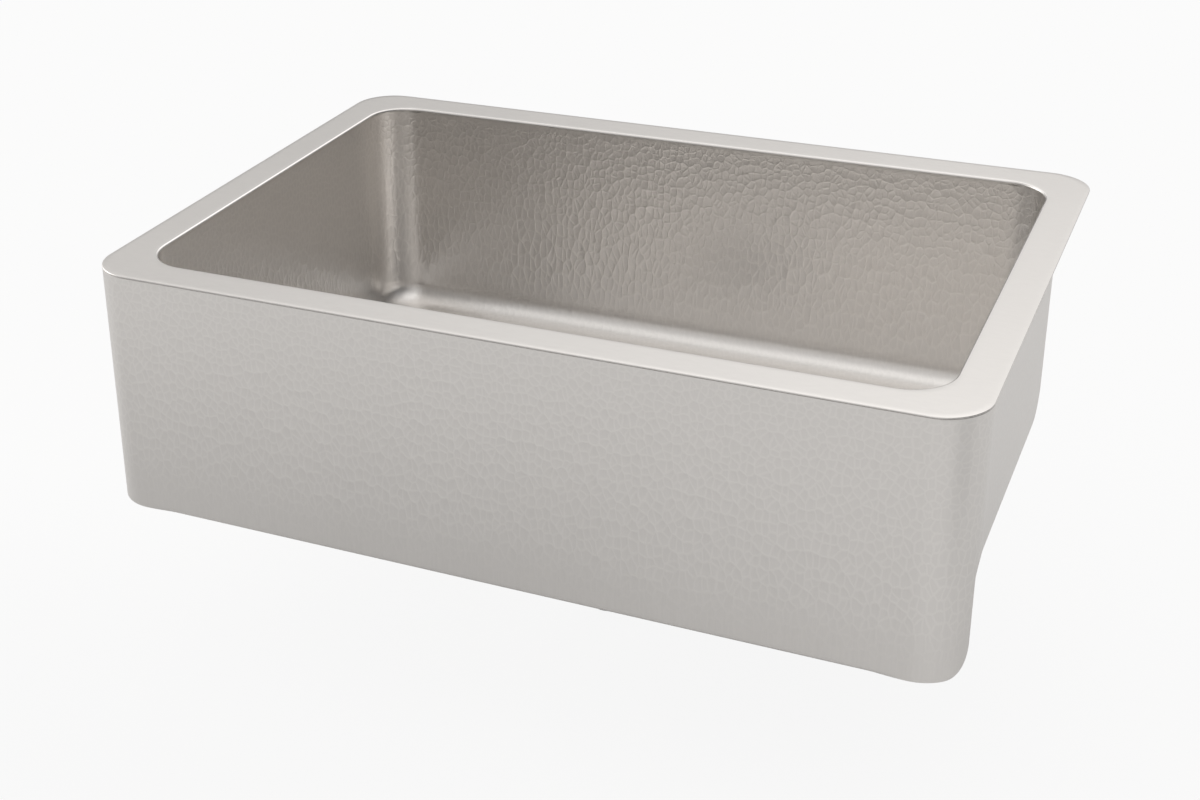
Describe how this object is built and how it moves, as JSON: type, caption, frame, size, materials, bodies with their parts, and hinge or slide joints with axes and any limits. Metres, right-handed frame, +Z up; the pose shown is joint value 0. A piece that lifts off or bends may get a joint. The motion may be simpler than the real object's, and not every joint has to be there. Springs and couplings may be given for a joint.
{
  "type": "apron front kitchen sink",
  "caption": "Hammered steel apron front sink: one deep bowl, flat rim, wrapped apron with stepped side returns, basket strainer and outlet pipe.",
  "frame": {"origin": "middle of the back rim, on the rim's underside, which rests on the cabinet", "axes": "+X along the sink's width, to the right as seen from the front; +Y towards the back; +Z up"},
  "size_m": [0.762, 0.541, 0.3996],
  "materials": {
    "hammered_steel": "hammered and satin brushed",
    "brushed_steel": "satin brushed",
    "polished_steel": "polished",
    "cast_metal": "plain grey plated metal",
    "pad_rubber": "matt",
    "seal_rubber": "satin",
    "fibre": "pressed fibre",
    "white_bush": "moulded"
  },
  "bodies": {
    "sink": {"bowl": "hammered_steel", "rim_deck": "brushed_steel", "apron": "hammered_steel", "apron_stay_left": "cast_metal", "apron_stay_right": "cast_metal", "pad_floor_left": "pad_rubber", "pad_floor_right": "pad_rubber", "pad_side_left": "pad_rubber", "pad_side_right": "pad_rubber", "pad_back": "pad_rubber", "pad_front": "pad_rubber", "strainer_body": "polished_steel", "flange_seal": "seal_rubber", "drain_gasket": "seal_rubber", "friction_ring": "fibre", "locknut": "cast_metal", "tailpiece_washer": "seal_rubber", "tailpiece": "polished_steel", "coupling_nut": "polished_steel"},
    "basket": {"basket": "polished_steel", "post_guide": "white_bush"},
    "stopper": {"stopper_post": "polished_steel", "stopper_nut": "cast_metal", "stopper_seal": "seal_rubber", "stopper_washer": "polished_steel", "stopper_knob": "polished_steel"}
  },
  "joints": [
    {"name": "basket_lift", "type": "slide", "parent": "sink", "child": "basket", "axis": [0, 0, 1], "range_m": [0, 0.3]},
    {"name": "stopper_pull", "type": "slide", "parent": "basket", "child": "stopper", "axis": [0, 0, 1], "range_m": [0, 0.01]}
  ]
}
